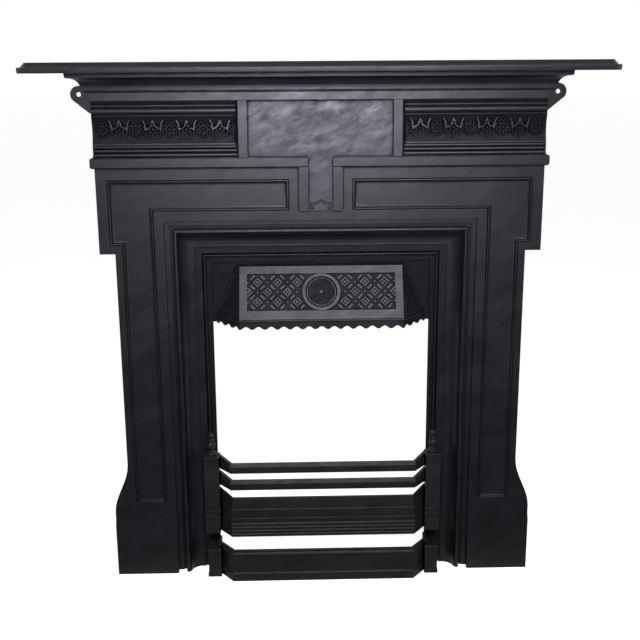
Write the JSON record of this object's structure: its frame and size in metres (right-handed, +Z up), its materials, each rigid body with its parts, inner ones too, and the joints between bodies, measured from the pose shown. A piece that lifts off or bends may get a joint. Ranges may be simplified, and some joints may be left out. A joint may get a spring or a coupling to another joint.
{
  "type": "cast iron fireplace",
  "caption": "Combination cast iron fireplace: panelled mantel with shelf, moulded insert frame, canted fire bars, leaning hood with scalloped valance, damper, grate and ash front.",
  "frame": {"origin": "centre of the object's footprint box on the hearth, below its whole bounding box", "axes": "+X to the viewer's right along the shelf, +Y from the viewer into the wall, +Z up"},
  "size_m": [1.2114, 0.2797, 1.169],
  "materials": {
    "cast_iron": "satin black stove polish over sand-cast grain, rubbed brighter on raised edges",
    "dark_steel": "dull oiled steel of hidden fixings"
  },
  "bodies": {
    "surround": {"mantel_front": "cast_iron", "mantel_shelf": "cast_iron", "insert_frame": "cast_iron", "hood": "cast_iron", "throat_plate": "cast_iron", "grate_bearer_left": "cast_iron", "grate_bearer_right": "cast_iron", "shelf_bolts": "dark_steel", "shelf_washers": "dark_steel", "insert_screws": "dark_steel", "insert_washers": "dark_steel", "hood_screws": "dark_steel", "throat_screws": "dark_steel", "damper_pin": "dark_steel", "bearer_bolts": "dark_steel"},
    "damper": {"damper_flap": "cast_iron"},
    "fire_bars": {"fire_front": "cast_iron", "finial_left": "cast_iron", "finial_right": "cast_iron"},
    "grate": {"bottom_grate": "cast_iron"},
    "ash_cover": {"ash_front": "cast_iron"}
  },
  "joints": [
    {"name": "damper_hinge", "type": "hinge", "parent": "surround", "child": "damper", "pos_m": [0, 0.128, 0.7493], "axis": [-1, 0, 0], "range_deg": [0, 75]},
    {"name": "fire_front_lift", "type": "slide", "parent": "surround", "child": "fire_bars", "axis": [0, 0, 1], "range_m": [0, 0.35]},
    {"name": "grate_lift", "type": "slide", "parent": "surround", "child": "grate", "axis": [0, 0, 1], "range_m": [0, 0.3]},
    {"name": "ash_front_pull", "type": "slide", "parent": "surround", "child": "ash_cover", "axis": [0, -1, 0], "range_m": [0, 0.25]}
  ]
}
